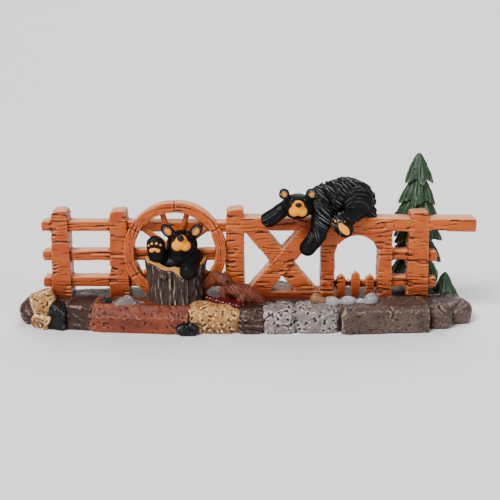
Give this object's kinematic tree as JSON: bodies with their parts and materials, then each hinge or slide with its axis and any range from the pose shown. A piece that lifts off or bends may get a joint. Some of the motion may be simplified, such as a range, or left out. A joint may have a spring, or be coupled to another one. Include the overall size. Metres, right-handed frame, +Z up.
{
  "type": "resin bear figurine",
  "caption": "Cast resin shelf figurine: black bears on a rustic timber fence with a wheel, an arch gate and conifers, on a long bed of rocks.",
  "frame": {"origin": "on the flat underside, midway along the rock bed", "axes": "+Z up, +X along the bed to the viewer's right, the front towards -Y"},
  "size_m": [0.2781, 0.0668, 0.1015],
  "materials": {
    "painted_resin": "hand-painted cast resin, satin",
    "timber_paint": "orange-brown paint with dark wash in the grain, satin",
    "fur_paint": "black paint with grey dry-brush, glossy",
    "muzzle_paint": "tan paint, satin",
    "bark_paint": "dark brown paint with pale dry-brush, matte",
    "rock_paint": "earth colours with dark wash, matte",
    "bough_paint": "dark green paint with pale dry-brush, satin",
    "pelt_paint": "brown paint with dark wash, satin",
    "berry_paint": "dark red paint, glossy"
  },
  "bodies": {
    "root": {"figurine": "painted_resin"}
  },
  "joints": []
}
